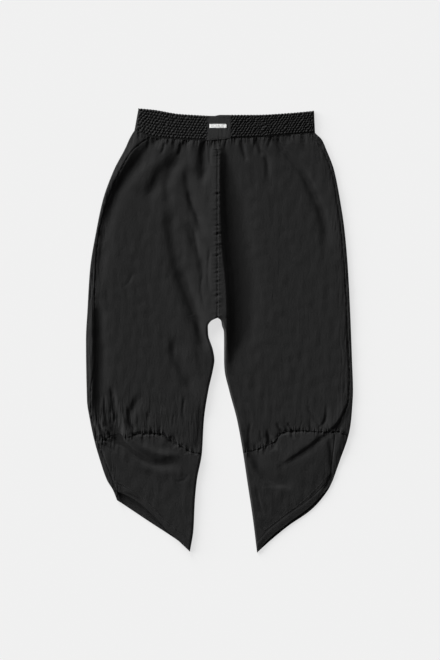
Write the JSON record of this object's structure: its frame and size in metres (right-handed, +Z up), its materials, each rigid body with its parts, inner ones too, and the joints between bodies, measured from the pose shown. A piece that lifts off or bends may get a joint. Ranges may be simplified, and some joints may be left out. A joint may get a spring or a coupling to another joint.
{
  "type": "baggy trousers",
  "caption": "Baggy black cotton trousers laid flat, with a shirred elastic waistband, a woven label and gathered pointed lower legs.",
  "frame": {"origin": "middle of the garment's footprint, on the surface that it lies on", "axes": "+X to the wearer's left, +Y from the hems to the waist, +Z up, out of the garment's front"},
  "size_m": [0.5338, 0.885, 0.0151],
  "materials": {
    "cloth": "black crinkled cotton, matt",
    "shirred_band": "black cotton shirred on elastic thread, matt",
    "woven_label": "black woven label with a plain white bar, soft satin"
  },
  "bodies": {
    "root": {"waistband": "shirred_band", "waist_label": "woven_label", "front_right": "cloth", "front_left": "cloth", "back_right": "cloth", "back_left": "cloth", "cuff_front_right": "cloth", "cuff_front_left": "cloth", "cuff_back_right": "cloth", "cuff_back_left": "cloth"}
  },
  "joints": []
}
